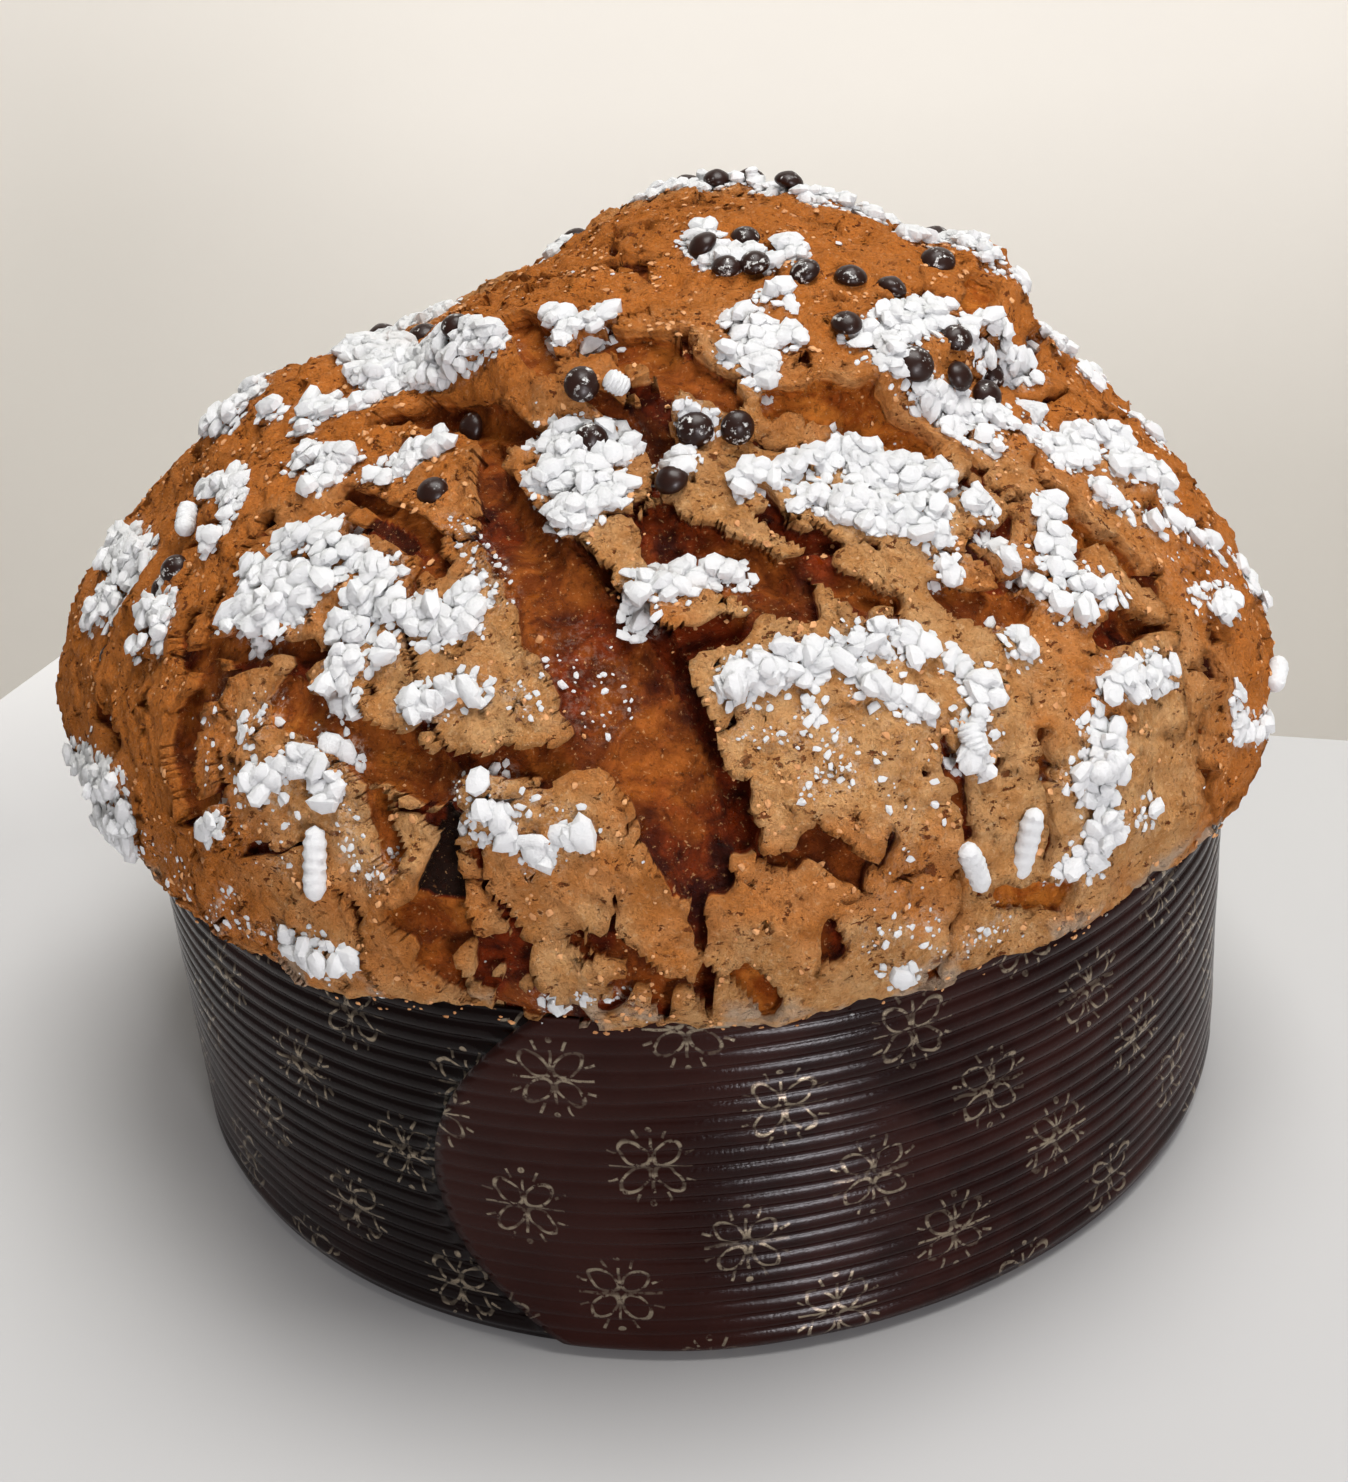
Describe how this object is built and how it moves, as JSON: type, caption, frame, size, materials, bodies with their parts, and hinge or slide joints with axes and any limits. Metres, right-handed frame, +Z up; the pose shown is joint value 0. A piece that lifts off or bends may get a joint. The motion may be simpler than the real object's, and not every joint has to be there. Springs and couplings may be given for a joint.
{
  "type": "panettone in a paper case",
  "caption": "Domed sweet bread baked in a low corrugated paper case, its cracked almond glaze topped with pearl sugar and chocolate chips.",
  "frame": {"origin": "centre of the case's flat underside", "axes": "+Z up through the crown, -Y towards the front with the overlap of the case left of it, +X to the right"},
  "size_m": [0.2077, 0.2022, 0.1541],
  "materials": {
    "bread": "matt crackled glaze over baked crumb, with white sugar and dark chips",
    "case_paper": "satin corrugated paper, dark brown with small gold rosettes"
  },
  "bodies": {
    "root": {"loaf": "bread", "paper_case": "case_paper"}
  },
  "joints": []
}
